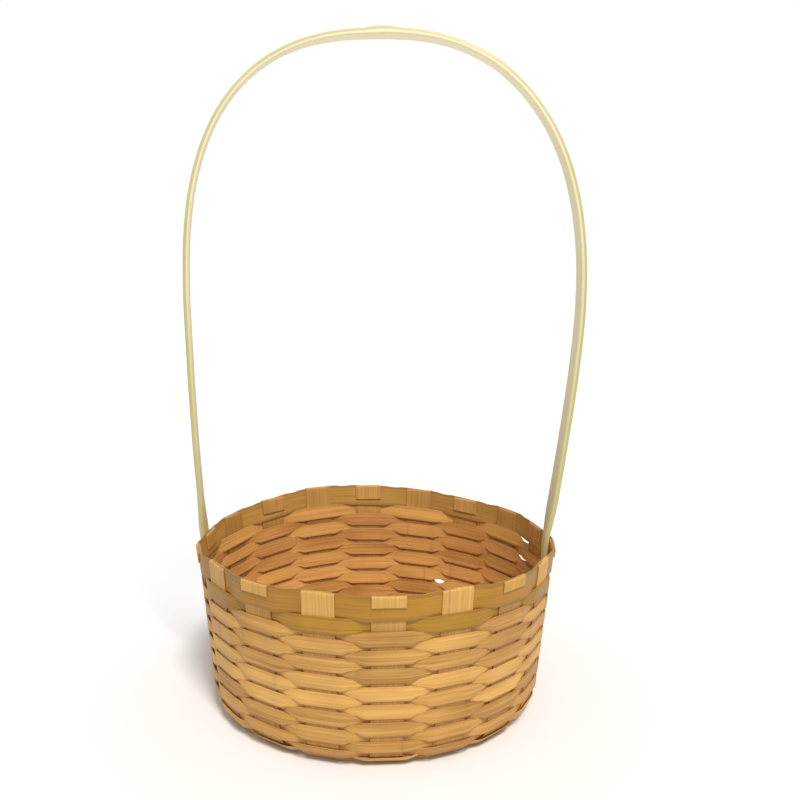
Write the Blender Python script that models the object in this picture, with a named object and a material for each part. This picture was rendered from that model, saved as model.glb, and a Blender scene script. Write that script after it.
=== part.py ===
"""A round basket plaited from flat splints, with a fixed hoop handle. Metres, +Z up.

Nine strips cross as a mat, turn up at the heel and become eighteen stakes. Rows of narrow
weaver pass in and out of the stakes. Two wider bands finish the wall, and the stake ends fold
over the upper one. Each end of the handle is tucked behind the weave along one stake.
"""

import math

import bmesh
import bpy
from mathutils import Vector

# Bowl, measured on the middle of the stakes' thickness
RIM_RADIUS = 0.1091
RIM_HEIGHT = 0.1035
WALL_LEAN = math.radians(5.2)
HEEL_RADIUS = 0.0120

# Strips that are base and stakes in one
LONG_STRIPS = 5
CROSS_STRIPS = 4
STAKE_WIDTH = 0.0185
STAKE_THICKNESS = 0.0009
MAT_GAP = 0.0060

# What passes through the stakes
ROWS = 16
ROW_GAP = 0.0004
ROW_LAP = 0.0031
WEAVER_THICKNESS = 0.0007
LOWER_BAND_HEIGHT = 0.0076
RIM_BAND_HEIGHT = 0.0130
BAND_THICKNESS = 0.0009
BAND_GAP = 0.0004

# Folded ends of the stakes, measured down from the rim band's upper edge
OUTER_FOLD_LENGTH = 0.0055
INNER_FOLD_LENGTH = 0.0090

# Sway of the rim by hand work, in waves round the bowl: rise, number of waves, where they start
RIM_SWAY = (
    (-0.00115, 0, 0),
    (0.00042, 1, math.radians(-158)),
    (0.00219, 2, math.radians(-155)),
    (0.00105, 3, math.radians(-29)),
    (0.00073, 4, math.radians(119)),
)
SWAY_FADE = 0.1200

# Handle
HANDLE_WIDTH = 0.0100
HANDLE_THICKNESS = 0.0036
HANDLE_EDGE = 0.0010
HANDLE_HALF_SPAN = 0.1200
HANDLE_SHOULDER_HEIGHT = 0.2500
HANDLE_TOP_HEIGHT = 0.4024
HANDLE_TUCK = 0.0575
HANDLE_TIP_WIDTH = 0.0070
HANDLE_TIP_THICKNESS = 0.0016
INNER_LEG_STAND_OFF = 0.0015
INNER_LEG_SPRING = 0.0300
HANDLE_SKEW = math.radians(12)
HANDLE_SKEW_RISE = 0.0450
RIGHT_SHOULDER_FULLNESS = 2.35
LEFT_SHOULDER_FULLNESS = 2.60
LEG_LEAN_POWER = 1.5
NODE_SWELL = 0.0010
NODE_SPREAD = 0.0088

# Fits
SPLINT_CLEARANCE = 0.0003
EDGE_MARGIN = 0.0006
FLOOR_CLEARANCE = 0.0003

# How finely the curved stretches are cut
HEEL_SECTIONS = 8
FOLD_SECTIONS = 6
FLARE_SECTIONS = 4
CROSSOVER_SECTIONS = 2
HANDLE_SECTIONS = 64
CURVE_SAMPLES = 40

# Colours of the splints, linear
STAKE_COLOUR = (0.62, 0.38, 0.13)
WEAVER_COLOUR = (0.54, 0.25, 0.07)
BAND_COLOUR = (0.47, 0.28, 0.06)
HANDLE_COLOUR = (0.78, 0.66, 0.36)
SPLINT_ROUGHNESS = 0.55

# Worked out from the sizes above
STAKES = 2 * (LONG_STRIPS + CROSS_STRIPS)
STEP = 2 * math.pi / STAKES
HALF_STAKE = STAKE_THICKNESS / 2
HALF_WEAVER = WEAVER_THICKNESS / 2
ROW_OFFSET = HALF_STAKE + SPLINT_CLEARANCE + HALF_WEAVER
MAT_PITCH = STAKE_WIDTH + MAT_GAP
MAT_OFFSET = HALF_STAKE + SPLINT_CLEARANCE / 2
MAT_LEVEL = MAT_OFFSET + HALF_STAKE
MAT_FLAT = STAKE_WIDTH / 2 + EDGE_MARGIN
HEEL_LEVEL = ROW_OFFSET + HALF_WEAVER + FLOOR_CLEARANCE
HEEL_TURN = math.pi / 2 - WALL_LEAN
HEEL_ARC = HEEL_RADIUS * HEEL_TURN
HEEL_RISE = HEEL_RADIUS * (1 - math.cos(HEEL_TURN))
FOLD_RADIUS = BAND_THICKNESS / 2 + SPLINT_CLEARANCE + HALF_STAKE
BAND_TOP_HEIGHT = RIM_HEIGHT - HALF_STAKE - FOLD_RADIUS
WALL_RUN = (BAND_TOP_HEIGHT - HEEL_LEVEL - HEEL_RISE) / math.sin(HEEL_TURN)
HEEL_START = RIM_RADIUS - WALL_RUN * math.cos(HEEL_TURN) - HEEL_RADIUS * math.sin(HEEL_TURN)
WALL_TOP = HEEL_ARC + WALL_RUN
RIM_BAND_FOOT = WALL_TOP - RIM_BAND_HEIGHT
LOWER_BAND_TOP = RIM_BAND_FOOT - BAND_GAP
LOWER_BAND_FOOT = LOWER_BAND_TOP - LOWER_BAND_HEIGHT
ROW_PITCH = (LOWER_BAND_FOOT - BAND_GAP) / ROWS
ROW_HEIGHT = ROW_PITCH - ROW_GAP
UP = Vector((0, 0, 1))


def clear_scene():
    for item in list(bpy.data.objects):
        bpy.data.objects.remove(item, do_unlink=True)


def new_collection(name):
    made = bpy.data.collections.new(name)
    bpy.context.scene.collection.children.link(made)
    return made


def splint_material(name, colour):
    made = bpy.data.materials.new(name)
    made.use_nodes = True
    shader = made.node_tree.nodes["Principled BSDF"]
    shader.inputs["Base Color"].default_value = (*colour, 1)
    shader.inputs["Roughness"].default_value = SPLINT_ROUGHNESS
    shader.inputs["Metallic"].default_value = 0
    return made


def smooth(share):
    return share * share * (3 - 2 * share)


def rectangle(centre, across, normal, width, thickness):
    """Four corners of a splint cut square across its length."""
    half_width = across * (width / 2)
    half_thickness = normal * (thickness / 2)
    return [
        centre + half_width + half_thickness,
        centre - half_width + half_thickness,
        centre - half_width - half_thickness,
        centre + half_width - half_thickness,
    ]


def chamfered(centre, across, normal, width, thickness, edge):
    """Eight corners of a strip whose long edges are taken off."""
    flat_x = across * (width / 2 - edge)
    full_x = across * (width / 2)
    flat_y = normal * (thickness / 2 - edge)
    full_y = normal * (thickness / 2)
    return [
        centre + flat_x + full_y,
        centre - flat_x + full_y,
        centre - full_x + flat_y,
        centre - full_x - flat_y,
        centre - flat_x - full_y,
        centre + flat_x - full_y,
        centre + full_x - flat_y,
        centre + full_x + flat_y,
    ]


def hand_set(place):
    """Where the maker's hands left a point: the sway grows up to the rim and fades above it."""
    share = (place.z / RIM_HEIGHT) ** 2
    if place.z > RIM_HEIGHT:
        share = smooth(max(1 - (place.z - RIM_HEIGHT) / SWAY_FADE, 0))
    bearing = math.atan2(place.y, place.x)
    rise = sum(size * math.cos(times * bearing - start) for size, times, start in RIM_SWAY)
    return place + UP * (rise * share)


def loft(name, sections, colour, home, closed=False):
    """One solid through a row of cross-sections, as a ring or with its two ends capped."""
    shape = bmesh.new()
    rings = [[shape.verts.new(hand_set(corner)) for corner in section] for section in sections]
    following = rings[1:] + rings[:1] if closed else rings[1:]
    for ring, onward in zip(rings, following):
        for i in range(len(ring)):
            shape.faces.new((ring[i], ring[i - 1], onward[i - 1], onward[i]))
    if not closed:
        shape.faces.new(rings[0])
        shape.faces.new(rings[-1])
    bmesh.ops.recalc_face_normals(shape, faces=shape.faces)
    mesh = bpy.data.meshes.new(name)
    shape.to_mesh(mesh)
    shape.free()
    mesh.materials.append(splint_material(name, colour))
    made = bpy.data.objects.new(name, mesh)
    home.objects.link(made)
    return made


def outward(angle):
    return Vector((math.cos(angle), math.sin(angle), 0))


def sideways(angle):
    return Vector((-math.sin(angle), math.cos(angle), 0))


def wall_point(s):
    """Radius, height and slope of the stakes' middle, a length s up from the edge of the base."""
    if s < 0:
        return HEEL_START + s, HEEL_LEVEL, 0
    turn = min(s / HEEL_RADIUS, HEEL_TURN)
    run = max(s - HEEL_ARC, 0)
    radius = HEEL_START + HEEL_RADIUS * math.sin(turn) + run * math.cos(turn)
    height = HEEL_LEVEL + HEEL_RADIUS * (1 - math.cos(turn)) + run * math.sin(turn)
    return radius, height, turn


def wall_frame(s, angle):
    """A point of the wall's middle surface, the way up the wall and the way into the bowl."""
    radius, height, turn = wall_point(s)
    spoke = outward(angle)
    centre = spoke * radius + UP * height
    uphill = spoke * math.cos(turn) + UP * math.sin(turn)
    inward = UP * math.cos(turn) - spoke * math.sin(turn)
    return centre, uphill, inward


def stake_order(angle):
    """The stake's place in the ring: even ones have the rim band outside them."""
    start = (LONG_STRIPS - 1) / 2 % 1
    return round(angle / STEP - start) % STAKES


def band_is_outside(angle):
    return stake_order(angle) % 2 == 0


def bezier(bends, t):
    """Place and heading at a share t of the curve that four points steer."""
    a, b, c, d = bends
    spot = a * (1 - t) ** 3 + b * (3 * t * (1 - t) ** 2) + c * (3 * t * t * (1 - t)) + d * t**3
    way = (b - a) * (1 - t) ** 2 + (c - b) * (2 * t * (1 - t)) + (d - c) * t * t
    return spot, way.normalized()


def folded_end(angle):
    """Sections of a stake's end, over the rim band's upper edge and down its far side."""
    centre, uphill, inward = wall_frame(WALL_TOP, angle)
    outside = band_is_outside(angle)
    away = -inward if outside else inward
    length = OUTER_FOLD_LENGTH if outside else INNER_FOLD_LENGTH
    hub = centre + away * FOLD_RADIUS
    sections = []
    for i in range(FOLD_SECTIONS + 1):
        turn = math.pi * i / FOLD_SECTIONS
        spot = hub - away * (FOLD_RADIUS * math.cos(turn)) + uphill * (FOLD_RADIUS * math.sin(turn))
        leaning = math.cos(turn) * inward
        facing = leaning + (-1 if outside else 1) * -math.sin(turn) * uphill
        sections.append((spot, facing))
    spot, facing = sections[-1]
    sections.append((spot - uphill * length, facing))
    return sections


def stake_half(angle, start, heading):
    """Sections from the mat's edge out to the heel, up the wall and over the rim."""
    sections = []
    begin = Vector((start.x, start.y, 0))
    heel = outward(angle) * HEEL_START
    reach = (heel - begin).length / 3
    bends = (begin, begin + heading * reach, heel - outward(angle) * reach, heel)
    for i in range(1, FLARE_SECTIONS):
        t = i / FLARE_SECTIONS
        spot, way = bezier(bends, t)
        spot.z = start.z + (HEEL_LEVEL - start.z) * smooth(t)
        sections.append((spot, UP.cross(way), UP))
    across = sideways(angle)
    for i in range(HEEL_SECTIONS + 1):
        centre, _, inward = wall_frame(HEEL_ARC * i / HEEL_SECTIONS, angle)
        sections.append((centre, across, inward))
    sections += [(spot, across, facing) for spot, facing in folded_end(angle)]
    return sections


def make_strip(name, index, count, crossings, crosswise, home):
    """A strip across the whole basket: one mat strip and the two stakes that it turns into."""
    along = Vector((0, 1, 0)) if crosswise else Vector((1, 0, 0))
    beside = Vector((1, 0, 0)) if crosswise else Vector((0, 1, 0))
    place = index - (count - 1) / 2
    middle = []
    for i in range(crossings):
        over = (index + i + crosswise) % 2 == 0
        level = MAT_LEVEL + (MAT_OFFSET if over else -MAT_OFFSET)
        centre = (i - (crossings - 1) / 2) * MAT_PITCH
        for edge in (-MAT_FLAT, MAT_FLAT):
            spot = beside * (place * MAT_PITCH) + along * (centre + edge) + UP * level
            middle.append((spot, UP.cross(along), UP))
    near = place * STEP - math.pi / 2 if crosswise else math.pi - place * STEP
    far = math.pi / 2 - place * STEP if crosswise else place * STEP
    start = stake_half(near, middle[0][0], -along)
    path = [(spot, -across, facing) for spot, across, facing in reversed(start)]
    path += middle + stake_half(far, middle[-1][0], along)
    sections = [rectangle(*section, STAKE_WIDTH, STAKE_THICKNESS) for section in path]
    return loft(name, sections, STAKE_COLOUR, home)


def make_strips(home):
    for i in range(LONG_STRIPS):
        make_strip(f"long_strip_{i + 1}", i, LONG_STRIPS, CROSS_STRIPS, False, home)
    for i in range(CROSS_STRIPS):
        make_strip(f"cross_strip_{i + 1}", i, CROSS_STRIPS, LONG_STRIPS, True, home)


def leg_size(height):
    """Width and thickness of the handle, thinned towards its tucked tips."""
    full = min(max((height - RIM_HEIGHT) / HANDLE_TUCK + 1, 0), 1)
    width = HANDLE_TIP_WIDTH + (HANDLE_WIDTH - HANDLE_TIP_WIDTH) * full
    thickness = HANDLE_TIP_THICKNESS + (HANDLE_THICKNESS - HANDLE_TIP_THICKNESS) * full
    return width, thickness


def leg_side(angle):
    """-1 where a handle leg lies inside this stake, 1 where outside, 0 where there is none."""
    if abs(math.sin(angle)) > math.sin(STEP / 2):
        return 0
    return -1 if math.cos(angle) > 0 else 1


def leg_stand_off(s):
    """How far the inner leg has sprung away from its stake, a length s up the wall."""
    foot = WALL_TOP - INNER_LEG_SPRING
    return INNER_LEG_STAND_OFF * max((s - foot) / INNER_LEG_SPRING, 0)


def lap_at(angle, lap):
    """How much taller a row is over this stake: half as much beside a leg, where rows cross steeply."""
    beside_leg = leg_side(angle) == 0 and abs(math.sin(angle)) < math.sin(1.5 * STEP)
    return lap / 2 if beside_leg else lap


def ring_stop(s, height, thickness, angle, outside):
    """How far a row stands off this stake, and half the width that it lies flat over."""
    side = 1 if outside else -1
    offset = HALF_STAKE + SPLINT_CLEARANCE + thickness / 2
    _, level, turn = wall_point(s)
    if turn < HEEL_TURN and not outside:
        offset += (height**2 + ROW_PITCH**2) / (8 * HEEL_RADIUS)
    half_flat = STAKE_WIDTH / 2 + EDGE_MARGIN
    lowest = RIM_HEIGHT - HANDLE_TUCK
    if leg_side(angle) == side and level + height / 2 > lowest:
        width, depth = leg_size(level + height / 2)
        offset += depth + SPLINT_CLEARANCE
        if not outside:
            offset += leg_stand_off(s + height / 2)
        half_flat = width / 2 + EDGE_MARGIN
    return side * offset, half_flat


def make_ring(name, s, height, lap, thickness, outside_even, colour, home):
    """A row or band: in front of one stake, behind the next, taller by the lap over each."""
    stops = []
    for k in range(STAKES):
        angle = k * STEP
        outside = band_is_outside(angle) == outside_even
        full_height = height + lap_at(angle, lap)
        offset, half_flat = ring_stop(s, full_height, thickness, angle, outside)
        stops.append((angle, offset, half_flat, full_height))
    radius, _, _ = wall_point(s)
    sections = []
    for k, (angle, offset, half_flat, full_height) in enumerate(stops):
        centre, uphill, inward = wall_frame(s, angle)
        for edge in (-half_flat, half_flat):
            spot = centre + sideways(angle) * edge - inward * offset
            sections.append(rectangle(spot, uphill, inward, full_height, thickness))
        _, next_offset, next_flat, _ = stops[(k + 1) % STAKES]
        here = angle + math.atan2(half_flat, radius)
        there = angle + STEP - math.atan2(next_flat, radius)
        for i in range(1, CROSSOVER_SECTIONS + 1):
            share = i / (CROSSOVER_SECTIONS + 1)
            bearing = here + (there - here) * share
            stand_off = offset + (next_offset - offset) * smooth(share)
            centre, uphill, inward = wall_frame(s, bearing)
            bulge = math.hypot(radius, half_flat + (next_flat - half_flat) * share) - radius
            spot = centre + outward(bearing) * bulge - inward * stand_off
            sections.append(rectangle(spot, uphill, inward, height, thickness))
    return loft(name, sections, colour, home, closed=True)


def make_rows(home):
    for i in range(ROWS):
        s = (i + 0.5) * ROW_PITCH
        outside_even = (ROWS - i) % 2 == 1
        lap = ROW_LAP if s - ROW_PITCH > HEEL_ARC else 0
        name = f"weaver_row_{i + 1:02d}"
        make_ring(name, s, ROW_HEIGHT, lap, WEAVER_THICKNESS, outside_even, WEAVER_COLOUR, home)


def make_bands(home):
    lower = (LOWER_BAND_TOP + LOWER_BAND_FOOT) / 2
    make_ring("lower_band", lower, LOWER_BAND_HEIGHT, 0, BAND_THICKNESS, False, BAND_COLOUR, home)
    upper = (WALL_TOP + RIM_BAND_FOOT) / 2
    make_ring("rim_band", upper, RIM_BAND_HEIGHT, 0, BAND_THICKNESS, True, BAND_COLOUR, home)


def tucked_leg(side):
    """Points of one leg along its stake, from the tip up to the rim: inside at +X, outside at -X."""
    angle = 0 if side > 0 else math.pi
    top = WALL_TOP + FOLD_RADIUS
    points = []
    for i in range(CURVE_SAMPLES + 1):
        s = top - HANDLE_TUCK * (1 - i / CURVE_SAMPLES)
        centre, _, inward = wall_frame(s, angle)
        _, thickness = leg_size(centre.z)
        stand_off = HALF_STAKE + SPLINT_CLEARANCE + thickness / 2
        if side > 0:
            stand_off += leg_stand_off(s)
        points.append(centre + inward * stand_off * side)
    return points


def free_leg(start):
    """Points from the rim up to the shoulder, leaning out less and less."""
    side = math.copysign(1, start.x)
    spread = HANDLE_HALF_SPAN - abs(start.x)
    points = []
    for i in range(1, CURVE_SAMPLES):
        share = i / CURVE_SAMPLES
        x = HANDLE_HALF_SPAN - spread * (1 - share) ** LEG_LEAN_POWER
        z = start.z + (HANDLE_SHOULDER_HEIGHT - start.z) * share
        points.append(Vector((side * x, 0, z)))
    return points


def shoulder(side, fullness):
    """Points from the shoulder to the top, a quarter of a squarish oval."""
    rise = HANDLE_TOP_HEIGHT - HANDLE_SHOULDER_HEIGHT
    points = []
    for i in range(CURVE_SAMPLES + 1):
        turn = math.pi / 2 * i / CURVE_SAMPLES
        x = HANDLE_HALF_SPAN * math.cos(turn) ** (2 / fullness)
        z = HANDLE_SHOULDER_HEIGHT + rise * math.sin(turn) ** (2 / fullness)
        points.append(Vector((side * x, 0, z)))
    return points


def evenly_spaced(points, count):
    """The same line walked at equal steps."""
    lengths = [0]
    for a, b in zip(points, points[1:]):
        lengths.append(lengths[-1] + (b - a).length)
    spaced = []
    j = 0
    for i in range(count + 1):
        target = lengths[-1] * i / count
        while j < len(points) - 2 and lengths[j + 1] < target:
            j += 1
        share = (target - lengths[j]) / (lengths[j + 1] - lengths[j])
        spaced.append(points[j].lerp(points[j + 1], share))
    return spaced


def make_handle(home):
    right = tucked_leg(1)
    right += free_leg(right[-1]) + shoulder(1, RIGHT_SHOULDER_FULLNESS)
    left = tucked_leg(-1)
    left += free_leg(left[-1]) + shoulder(-1, LEFT_SHOULDER_FULLNESS)
    path = evenly_spaced(right + left[-2::-1], HANDLE_SECTIONS)
    sections = []
    for i, spot in enumerate(path):
        way = (path[min(i + 1, HANDLE_SECTIONS)] - path[max(i - 1, 0)]).normalized()
        width, thickness = leg_size(spot.z)
        skew = HANDLE_SKEW * smooth(min(max((spot.z - RIM_HEIGHT) / HANDLE_SKEW_RISE, 0), 1))
        across = Vector((-math.sin(skew), math.cos(skew), 0))
        across = (across - way * across.dot(way)).normalized()
        swell = NODE_SWELL * math.exp(-((spot.x / NODE_SPREAD) ** 4))
        facing = across.cross(way)
        centre = spot + facing * (swell / 2)
        edge = HANDLE_EDGE * thickness / HANDLE_THICKNESS
        sections.append(chamfered(centre, across, facing, width, thickness + swell, edge))
    return loft("hoop_handle", sections, HANDLE_COLOUR, home)


def main():
    clear_scene()
    basket = new_collection("splint_basket")
    make_strips(basket)
    make_rows(basket)
    make_bands(basket)
    make_handle(basket)


main()
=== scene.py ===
"""The looks of a round splint basket with a hoop handle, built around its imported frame.

Every splint is a path that carries its own directions. One Geometry Nodes tree pushes a cut
section along it and adds the small faults of hand work. Metres, +Z up.
"""

import math
from collections import namedtuple
from random import Random

import bpy
from mathutils import Matrix, Vector


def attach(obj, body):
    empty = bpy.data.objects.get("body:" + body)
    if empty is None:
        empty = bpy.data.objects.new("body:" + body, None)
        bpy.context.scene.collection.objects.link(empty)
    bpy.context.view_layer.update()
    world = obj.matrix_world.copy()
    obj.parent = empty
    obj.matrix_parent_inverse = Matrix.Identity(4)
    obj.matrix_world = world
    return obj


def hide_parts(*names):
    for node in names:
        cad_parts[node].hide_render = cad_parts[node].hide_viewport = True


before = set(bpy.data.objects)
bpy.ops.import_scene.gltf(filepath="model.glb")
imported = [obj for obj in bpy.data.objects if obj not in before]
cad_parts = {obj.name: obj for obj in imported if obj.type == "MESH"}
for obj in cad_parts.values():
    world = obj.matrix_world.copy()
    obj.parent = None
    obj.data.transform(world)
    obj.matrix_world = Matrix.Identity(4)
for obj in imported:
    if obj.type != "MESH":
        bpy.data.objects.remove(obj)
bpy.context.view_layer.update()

# Bowl and splints, the same sizes as the frame's
RIM_RADIUS = 0.1091
RIM_HEIGHT = 0.1035
WALL_LEAN = math.radians(5.2)
HEEL_RADIUS = 0.0120
LONG_STRIPS = 5
CROSS_STRIPS = 4
STAKE_WIDTH = 0.0185
STAKE_THICKNESS = 0.0009
MAT_GAP = 0.0060
ROWS = 16
WEAVER_THICKNESS = 0.0007
LOWER_BAND_HEIGHT = 0.0076
RIM_BAND_HEIGHT = 0.0130
BAND_THICKNESS = 0.0009
BAND_GAP = 0.0004
OUTER_FOLD_LENGTH = 0.0055
INNER_FOLD_LENGTH = 0.0090
FRAME_CLEARANCE = 0.0003

# Rise of the rim in waves round the bowl, as in the frame: size, number of waves, where they start
RIM_SWAY = (
    (-0.00115, 0, 0),
    (0.00042, 1, math.radians(-158)),
    (0.00219, 2, math.radians(-155)),
    (0.00105, 3, math.radians(-29)),
    (0.00073, 4, math.radians(119)),
)
SWAY_FADE = 0.1200

# Handle, the same sizes as the frame's
HANDLE_WIDTH = 0.0100
HANDLE_THICKNESS = 0.0036
HANDLE_HALF_SPAN = 0.1200
HANDLE_SHOULDER_HEIGHT = 0.2500
HANDLE_TOP_HEIGHT = 0.4024
HANDLE_TUCK = 0.0575
HANDLE_TIP_WIDTH = 0.0070
HANDLE_TIP_THICKNESS = 0.0016
INNER_LEG_STAND_OFF = 0.0015
INNER_LEG_SPRING = 0.0300
HANDLE_SKEW = math.radians(12)
RIGHT_SHOULDER_FULLNESS = 2.35
LEFT_SHOULDER_FULLNESS = 2.60
LEG_LEAN_POWER = 1.5
NODE_SWELL = 0.0010
NODE_SPREAD = 0.0088

# Turns and drift that hands gave the hoop: what this script shows beyond the frame's plain turn
HANDLE_SKEW_RISE = 0.0250
RIGHT_LEG_SKEW = math.radians(5)
GRIP_ROLL = 0.19
GRIP_ROLL_REACH = 0.0500
HANDLE_DRIFT = 0.0011

# How splints lie on one another once they are pulled tight
TOUCH = 0.0001
EDGE_MARGIN = 0.0006
ROW_LAP = 0.0031
HEEL_ROW_LAP = 0.0010
BAND_LAP = 0.0010
LAP_AT_SWAP = 0.0004
LAP_OVER_LEG_SHARE = 0.25
SWAP_START_SHARE = 0.03
SWAP_REACH_SHARE = 0.14
FOLD_RISE = 0.0004

# Where a ring sags away from the one above it and lets light through: bearing and size of the gap
THIN_SPOTS = {
    "lower_band": (math.radians(27), 0.0038),
    "weaver_row_15": (math.radians(26.5), 0.0036),
    "weaver_row_08": (math.radians(69.5), 0.0034),
}
THIN_REACH = math.radians(4.2)

# Powers that shape a bump: rounded, or flat on top
ROUND_TOP = 2
FLAT_TOP = 4

# Cut ends of splints: rounding of the edges, crown of the outer face and columns across it
STAKE_CUT = (0.00022, 0.00006, 8)
WEAVER_CUT = (0.00020, 0.00014, 5)
BAND_CUT = (0.00020, 0.00012, 8)
HANDLE_CUT = (0.00090, 0.00020, 6)

# How finely paths are walked, and how often their corners are eased
RING_STEPS = 26
WALL_STEPS = 36
FLARE_STEPS = 10
HEEL_STEPS = 8
FOLD_STEPS = 8
FOLD_END_STEPS = 6
MAT_STEPS = 6
CURVE_SAMPLES = 60
HANDLE_STEPS = 420
STRIP_EASING = 1
RING_EASING = 3
HANDLE_EASING = 4

# Faults of hand work, as inputs of the sweep: lengths, and Fray as a share of the width
STAKE_FAULTS = {"Wander": 0.0009, "Bow": 0.0002, "Fray": 0.018, "Joint Swell": 0.0002}
WEAVER_FAULTS = {"Wander": 0.0007, "Bow": 0.0004, "Fray": 0.05, "Joint Swell": 0.00018}
BAND_FAULTS = {"Wander": 0.0006, "Bow": 0.0004, "Fray": 0.02, "Joint Swell": 0.00022, "Cup": 0.00005}
HANDLE_FAULTS = {"Wander": 0.0004, "Bow": 0.0006, "Fray": 0.03, "Joint Swell": 0.0001, "Seed": 7.0}

# What differs from splint to splint, drawn by chance between two ends
SEED = 11
SEEDS = (0, 50)
TINTS = (0.15, 0.85)
STAKE_CUPS = (-0.00012, 0.00008)
WEAVER_CUPS = (-0.0001, 0.0001)
JOINT_SPACING = (0.16, 0.34)
JOINT_REACH = 0.02

# Waves a metre of the faults, and steps of the seed that keep their patterns apart
WANDER_WAVES = 22
BOW_WAVES = 35
FRAY_WAVES = 170
FRAY_DETAIL = 4.0
BOW_SEED_STEP = 3.7
EDGE_SEED_STEP = 1.9

# Swelling of the skin at a joint, and the angle past which an edge is sharp
JOINT_SPREAD = 0.0012
SKIN_STEEPNESS = 4
SHARP_ANGLE = math.radians(50)

# Grain of the splints: waves a metre, and how strongly each kind shows in the tone
FIBRE_WAVES_ALONG = 14
FIBRES_ACROSS = 1300
FIBRE_DETAIL = 3.0
FIBRE_TONE = 1.3
FINE_WAVES_ALONG = 60
FINE_FIBRES_ACROSS = 4200
FINE_TONE = 0.5
BLOTCH_WAVES = 26
BLOTCH_TONE = 0.9
TINT_JUMP = 90

# Faces, joints, and edges darkened partly by wear and partly as painted shade between neighbouring
# splints
FACE_STEEPNESS = 3
JOINT_LINE = 0.0005
EDGE_SHADE_FROM_SHARE = 0.66
EDGE_SHADE_STEEPNESS = 3.4

# Paling, partly bleaching and partly painted light: powers of its onset on faces that look out and in,
# and how much of an edge's mark, which is partly painted shade, it takes
LATE_ONSET = 3.0
EARLY_ONSET = 0.5
EDGE_FADING = 0.95

# Sheen and relief of the splints
PITH_DULLNESS = 0.12
FIBRE_DULLNESS = 0.25
COAT_ROUGHNESS = 0.35
COAT_SHARE = 0.25
RELIEF_STRENGTH = 0.7
FIBRE_DEPTH = 0.00012
FINE_RELIEF = 0.6

# Worked out from the sizes above, as in the frame
STAKES = 2 * (LONG_STRIPS + CROSS_STRIPS)
STEP = 2 * math.pi / STAKES
HALF_STAKE = STAKE_THICKNESS / 2
ROW_OFFSET = HALF_STAKE + FRAME_CLEARANCE + WEAVER_THICKNESS / 2
MAT_PITCH = STAKE_WIDTH + MAT_GAP
MAT_LEVEL = STAKE_THICKNESS + FRAME_CLEARANCE / 2
HEEL_LEVEL = ROW_OFFSET + WEAVER_THICKNESS / 2 + FRAME_CLEARANCE
HEEL_TURN = math.pi / 2 - WALL_LEAN
HEEL_ARC = HEEL_RADIUS * HEEL_TURN
HEEL_RISE = HEEL_RADIUS * (1 - math.cos(HEEL_TURN))
FRAME_FOLD = BAND_THICKNESS / 2 + FRAME_CLEARANCE + HALF_STAKE
BAND_TOP_HEIGHT = RIM_HEIGHT - HALF_STAKE - FRAME_FOLD
WALL_RUN = (BAND_TOP_HEIGHT - HEEL_LEVEL - HEEL_RISE) / math.sin(HEEL_TURN)
HEEL_START = RIM_RADIUS - WALL_RUN * math.cos(HEEL_TURN) - HEEL_RADIUS * math.sin(HEEL_TURN)
WALL_TOP = HEEL_ARC + WALL_RUN
RIM_BAND_FOOT = WALL_TOP - RIM_BAND_HEIGHT
LOWER_BAND_TOP = RIM_BAND_FOOT - BAND_GAP
LOWER_BAND_FOOT = LOWER_BAND_TOP - LOWER_BAND_HEIGHT
ROW_PITCH = (LOWER_BAND_FOOT - BAND_GAP) / ROWS
UP = Vector((0, 0, 1))

# Worked out for splints that touch
MAT_OFFSET = HALF_STAKE + TOUCH / 2
FOLD_RADIUS = BAND_THICKNESS / 2 + TOUCH + HALF_STAKE

# Camera, from the outlines in the photograph
CAMERA_TURN = math.radians(6.5)
CAMERA_DISTANCE = 0.5774
CAMERA_HEIGHT = 0.2844
CAMERA_DROP = 0.1667
CAMERA_YAW = 0.0238
CAMERA_ROLL = 0.0111
FOCAL_PIXELS = 949.15
PICTURE_PIXELS = 800
SENSOR = 36

# Light and floor
AMBIENT = 0.50
SUN_STRENGTH = 2.3
SUN_SOFTNESS = math.radians(14)
SUN_BEARING = math.radians(23)
SUN_RISE = math.radians(55)
SUN_COLOUR = (1.0, 0.98, 0.95)
FLOOR_REACH = 40
FLOOR_DROP = 0.0003
FLOOR_ROUGHNESS = 0.9
FLOOR_COLOUR = (0.95, 0.95, 0.95, 1)
FLOOR_BOUNCE = (0.80, 0.80, 0.80, 1)

# A row at a stake: how far it stands off, half the width that it lies flat over, how much taller it is
Stop = namedtuple("Stop", "stand_off flat taller")

# A colour that marks a place on a splint, and how strongly
Mark = namedtuple("Mark", "tone amount")

# Colours of the paling, which is partly bleaching and partly painted light, the heights between which
# they set in, and how far they go on either face
BleachAndLight = namedtuple("BleachAndLight", "dull bright low high seen_out seen_in")


class Socket:
    """A socket of a node tree. Arithmetic on it adds the Math nodes that work it out."""

    def __init__(self, graph, link):
        self.graph = graph
        self.link = link

    def maths(self, operation, *values):
        return self.graph.node("ShaderNodeMath", values, operation=operation)

    def __add__(self, other):
        return self.maths("ADD", self, other)

    def __radd__(self, other):
        return self.maths("ADD", other, self)

    def __sub__(self, other):
        return self.maths("SUBTRACT", self, other)

    def __rsub__(self, other):
        return self.maths("SUBTRACT", other, self)

    def __mul__(self, other):
        return self.maths("MULTIPLY", self, other)

    def __rmul__(self, other):
        return self.maths("MULTIPLY", other, self)

    def __truediv__(self, other):
        return self.maths("DIVIDE", self, other)

    def __rtruediv__(self, other):
        return self.maths("DIVIDE", other, self)

    def __pow__(self, other):
        return self.maths("POWER", self, other)

    def __abs__(self):
        return self.maths("ABSOLUTE", self)

    def sign(self):
        return self.maths("SIGN", self)

    def held(self):
        """The same number kept between 0 and 1."""
        return self.graph.node("ShaderNodeClamp", [self])


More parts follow.
